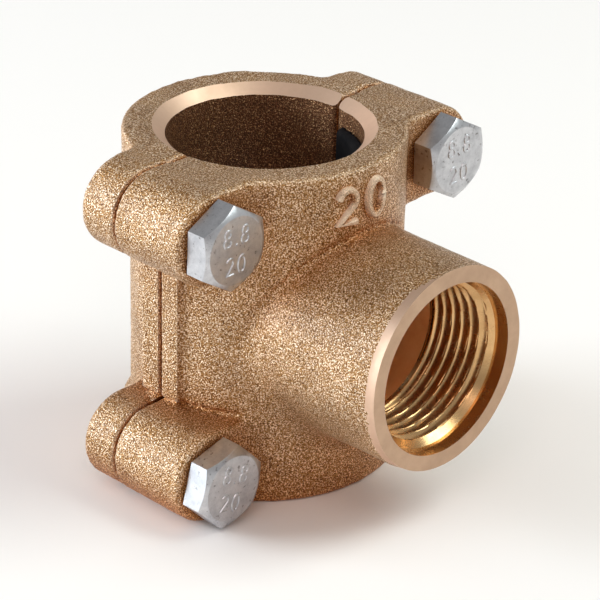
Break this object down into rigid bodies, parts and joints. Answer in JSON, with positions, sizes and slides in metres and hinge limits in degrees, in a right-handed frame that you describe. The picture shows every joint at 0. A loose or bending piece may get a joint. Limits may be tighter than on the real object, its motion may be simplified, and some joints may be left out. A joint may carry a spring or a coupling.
{
  "type": "repair clamp tee",
  "caption": "Split cast repair clamp for a pipe, with a rubber-lined saddle, an internally threaded side branch and two ears a side drawn together by hexagon bolts.",
  "frame": {"origin": "on the pipe axis, halfway between the two end faces", "axes": "+Z along the pipe, -Y along the branch towards its mouth, +X to the right as seen from the branch"},
  "size_m": [0.0628, 0.0606, 0.0538],
  "materials": {
    "bronze_saddle": "cast and sand blasted",
    "bronze_strap": "cast and sand blasted",
    "gasket_rubber": "matt black",
    "bolt_steel": "zinc plated"
  },
  "bodies": {
    "saddle": {"saddle_body": "bronze_saddle", "saddle_gasket": "gasket_rubber"},
    "strap": {"strap_body": "bronze_strap"},
    "bolt_top_left": {"bolt_top_left": "bolt_steel"},
    "bolt_top_right": {"bolt_top_right": "bolt_steel"},
    "bolt_bottom_left": {"bolt_bottom_left": "bolt_steel"},
    "bolt_bottom_right": {"bolt_bottom_right": "bolt_steel"}
  },
  "joints": [
    {"name": "bolt_top_left_turn", "type": "hinge", "parent": "saddle", "child": "bolt_top_left", "pos_m": [-0.0241, -0.014, 0.0197], "axis": [0, -1, 0], "range_deg": [-110, 1440]},
    {"name": "bolt_top_right_turn", "type": "hinge", "parent": "saddle", "child": "bolt_top_right", "pos_m": [0.0241, -0.014, 0.0197], "axis": [0, -1, 0], "range_deg": [-110, 1440]},
    {"name": "bolt_bottom_left_turn", "type": "hinge", "parent": "saddle", "child": "bolt_bottom_left", "pos_m": [-0.0241, -0.014, -0.0197], "axis": [0, -1, 0], "range_deg": [-110, 1440]},
    {"name": "bolt_bottom_right_turn", "type": "hinge", "parent": "saddle", "child": "bolt_bottom_right", "pos_m": [0.0241, -0.014, -0.0197], "axis": [0, -1, 0], "range_deg": [-110, 1440]},
    {"name": "strap_slide", "type": "slide", "parent": "saddle", "child": "strap", "axis": [0, 1, 0], "range_m": [-0.00038, 0.00499]}
  ],
  "couplings": [
    {"joint": "bolt_top_left_turn", "follows": "strap_slide", "rad_per_m": 5026.6},
    {"joint": "bolt_top_right_turn", "follows": "strap_slide", "rad_per_m": 5026.6},
    {"joint": "bolt_bottom_left_turn", "follows": "strap_slide", "rad_per_m": 5026.6},
    {"joint": "bolt_bottom_right_turn", "follows": "strap_slide", "rad_per_m": 5026.6}
  ]
}
